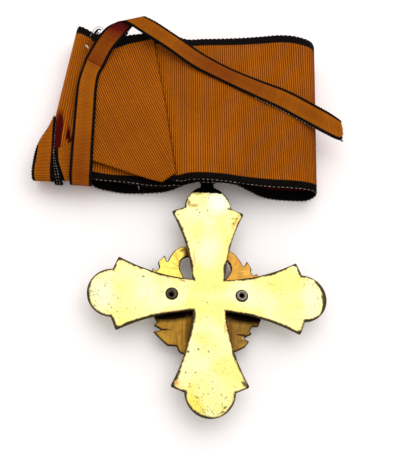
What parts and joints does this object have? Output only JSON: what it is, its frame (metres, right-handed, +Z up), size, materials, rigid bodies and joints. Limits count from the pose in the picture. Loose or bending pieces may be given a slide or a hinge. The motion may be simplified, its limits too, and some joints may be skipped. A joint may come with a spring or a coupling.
{
  "type": "order badge with folded neck ribbon",
  "caption": "Gilt cross badge with flared arms, lobed ends and a riveted pierced emblem, lying face down with its folded ribbed neck ribbon and narrow ties.",
  "frame": {"origin": "on the resting surface, under the middle of the outline", "axes": "+Z up, away from the surface and out of the badge's reverse; +Y from the badge to the ribbon; +X to the right as seen from above"},
  "size_m": [0.0806, 0.108, 0.0117],
  "materials": {
    "gilt_cross": "pale worn gilding, softly polished",
    "gilt_emblem": "brushed dark gilding",
    "rivets": "dull oxidised",
    "ribbon": "ribbed silk, golden brown with black edges",
    "ties": "fine ribbed tape, golden brown with black edges"
  },
  "bodies": {
    "root": {"cross_body": "gilt_cross", "emblem": "gilt_emblem", "rivet_left": "rivets", "rivet_right": "rivets", "neck_ribbon": "ribbon", "tie_long": "ties", "tie_inner": "ties", "tie_short": "ties"}
  },
  "joints": []
}
